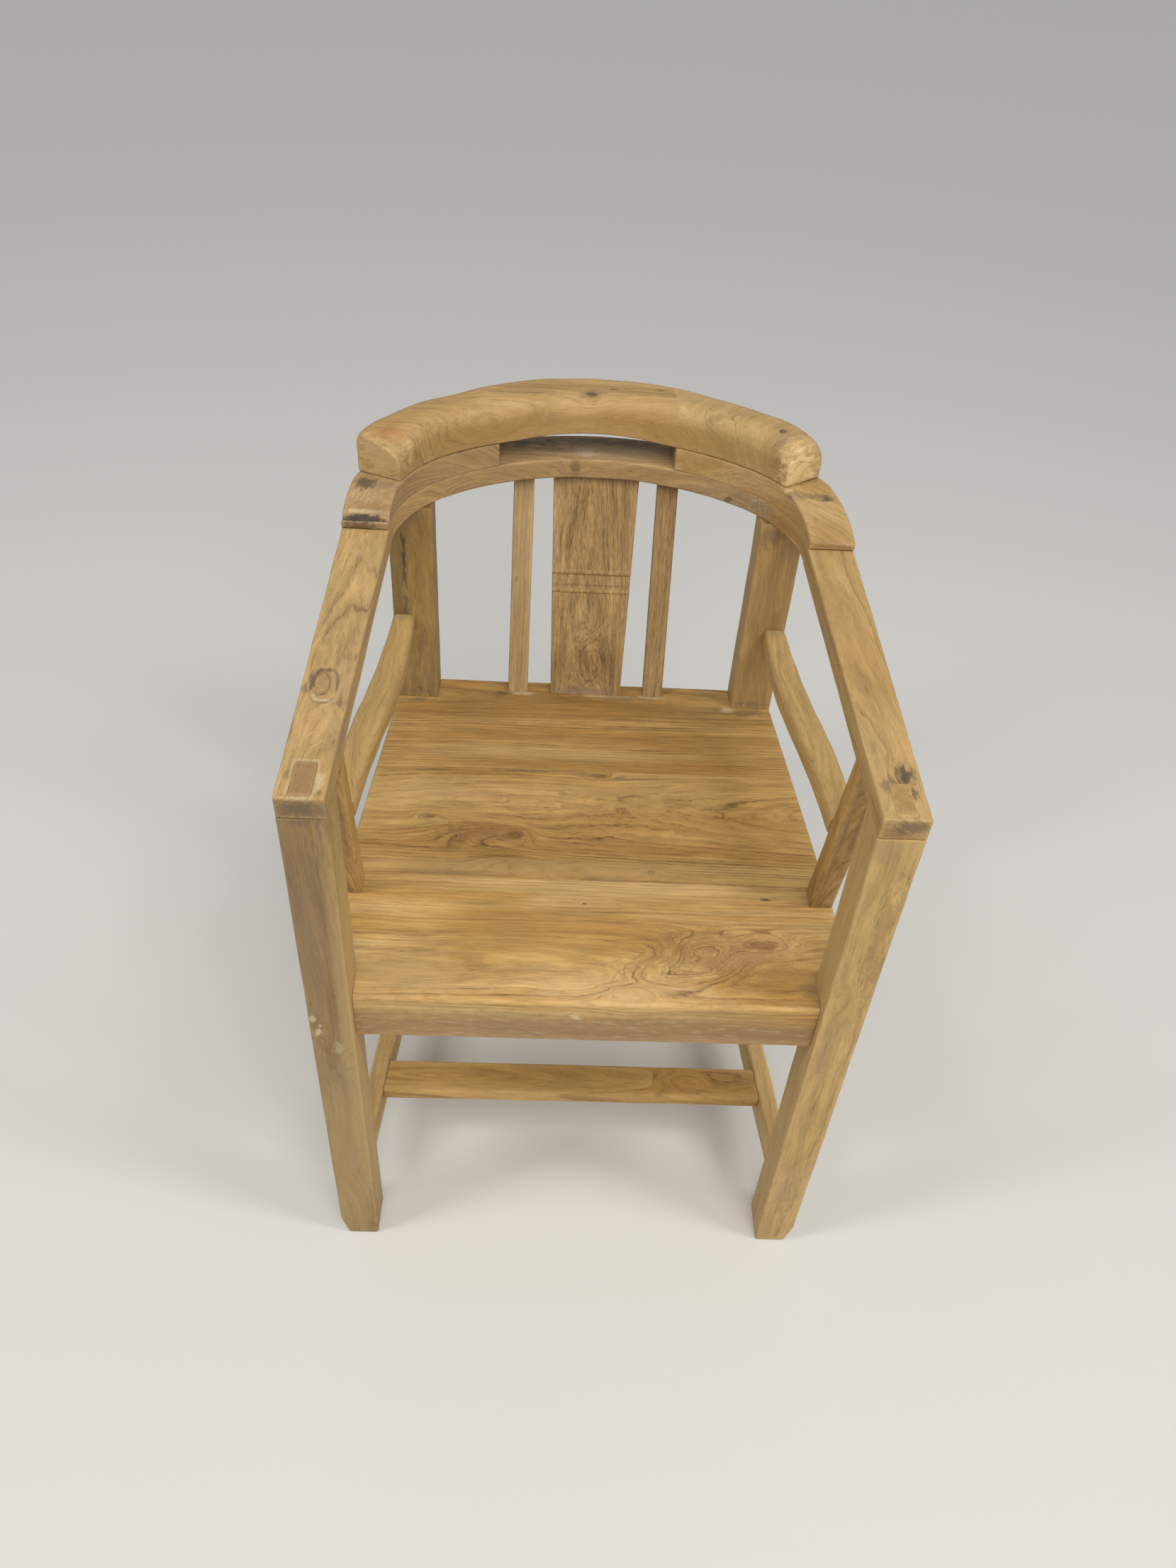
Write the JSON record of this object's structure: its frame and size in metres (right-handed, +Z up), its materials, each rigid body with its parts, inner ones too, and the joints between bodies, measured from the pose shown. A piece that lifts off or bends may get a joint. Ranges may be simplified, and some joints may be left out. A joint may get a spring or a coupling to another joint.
{
  "type": "wooden armchair",
  "caption": "Solid wood armchair: horseshoe arms on square legs, thick plank seat, raised curved crest rail with a hand slot, splat and slat back.",
  "frame": {"origin": "on the floor, at the middle of the chair's box seen from above", "axes": "+Z up, +Y towards the chair's back, +X to the right as seen from the front"},
  "size_m": [0.584, 0.6765, 0.8635],
  "materials": {
    "elm_frame": "sanded and oiled old elm, pale tan with grey-brown grain",
    "elm_seat": "sanded and oiled elm, warm orange tan, broad cathedral grain and knots",
    "elm_ring": "sanded and oiled elm, honey tan with open pores and grey stains",
    "elm_crest": "hand-shaped oiled elm, honey tan, darker knots",
    "elm_back": "oiled elm, red-brown, coarse upright pores",
    "elm_struts": "oiled elm, red-brown with dark streaks",
    "elm_pegs": "end grain of wooden pegs, darker brown",
    "elm_hidden": "plain wood of dowels and tongues inside the joints"
  },
  "bodies": {
    "root": {"front_leg_left": "elm_frame", "front_leg_right": "elm_frame", "rear_post_left": "elm_frame", "rear_post_right": "elm_frame", "seat_board_front": "elm_seat", "seat_board_middle": "elm_seat", "seat_board_rear": "elm_seat", "seat_tongues": "elm_hidden", "arm_left": "elm_ring", "arm_right": "elm_ring", "back_bow": "elm_ring", "bow_dowels": "elm_hidden", "shoulder_block_left": "elm_ring", "shoulder_block_right": "elm_ring", "crest_rail": "elm_crest", "crest_pegs": "elm_pegs", "splat": "elm_back", "slat_left": "elm_back", "slat_right": "elm_back", "arm_post_left": "elm_struts", "arm_post_right": "elm_struts", "side_rail_left": "elm_struts", "side_rail_right": "elm_struts", "side_stretcher_left": "elm_frame", "side_stretcher_right": "elm_frame", "cross_stretcher": "elm_frame"}
  },
  "joints": []
}
